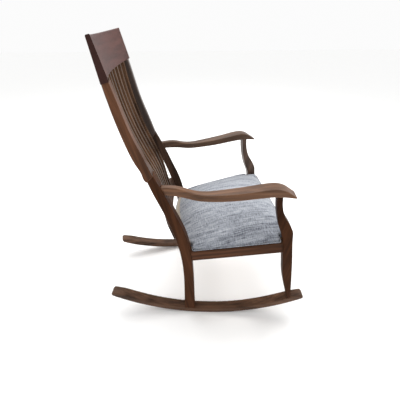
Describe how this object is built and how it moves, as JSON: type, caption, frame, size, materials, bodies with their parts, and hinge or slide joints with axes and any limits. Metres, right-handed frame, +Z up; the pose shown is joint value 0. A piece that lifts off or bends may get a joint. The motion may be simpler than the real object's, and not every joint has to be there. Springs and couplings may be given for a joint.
{
  "type": "rocking chair",
  "caption": "Wooden rocking chair with bentwood rockers, shaped arms, a fanned slat back under a curved crest rail, and an upholstered grey fabric seat.",
  "frame": {"origin": "on the floor, under the middle of the whole chair's box", "axes": "+Z up, +X to the sitter's left, the seat opens towards -Y"},
  "size_m": [0.6116, 0.8144, 1.0808],
  "materials": {
    "beech": "raw hardwood",
    "walnut_plugs": "end-grain plugs in the same stain",
    "zinc_steel": "zinc plated",
    "walnut": "satin dark walnut stain and lacquer, worn slightly lighter on the arm tops",
    "plywood": "raw plywood",
    "seat_fabric": "light grey heathered woven upholstery with a faint blue cast",
    "foam": "upholstery foam"
  },
  "bodies": {
    "root": {"arm_dowels": "beech", "arm_screw_plugs": "walnut_plugs", "arm_screws": "zinc_steel", "armrest_left": "walnut", "armrest_right": "walnut", "back_post_left": "walnut", "back_post_right": "walnut", "back_slat_1": "walnut", "back_slat_2": "walnut", "back_slat_3": "walnut", "back_slat_4": "walnut", "back_slat_5": "walnut", "back_slat_6": "walnut", "back_slat_7": "walnut", "back_slat_8": "walnut", "back_slat_9": "walnut", "block_screws": "zinc_steel", "corner_block_front_left": "beech", "corner_block_front_right": "beech", "corner_block_rear_left": "beech", "corner_block_rear_right": "beech", "crest_rail": "walnut", "front_leg_left": "walnut", "front_leg_right": "walnut", "front_rail": "walnut", "joint_bolts": "zinc_steel", "joint_dowels": "beech", "lower_back_rail": "walnut", "rear_leg_left": "walnut", "rear_leg_right": "walnut", "rear_rail": "walnut", "rocker_left": "walnut", "rocker_plugs": "walnut_plugs", "rocker_right": "walnut", "rocker_screws": "zinc_steel", "seat_board": "plywood", "seat_cover": "seat_fabric", "seat_foam": "foam", "seat_screws": "zinc_steel", "seat_welt": "seat_fabric", "side_rail_left": "walnut", "side_rail_right": "walnut"}
  },
  "joints": []
}
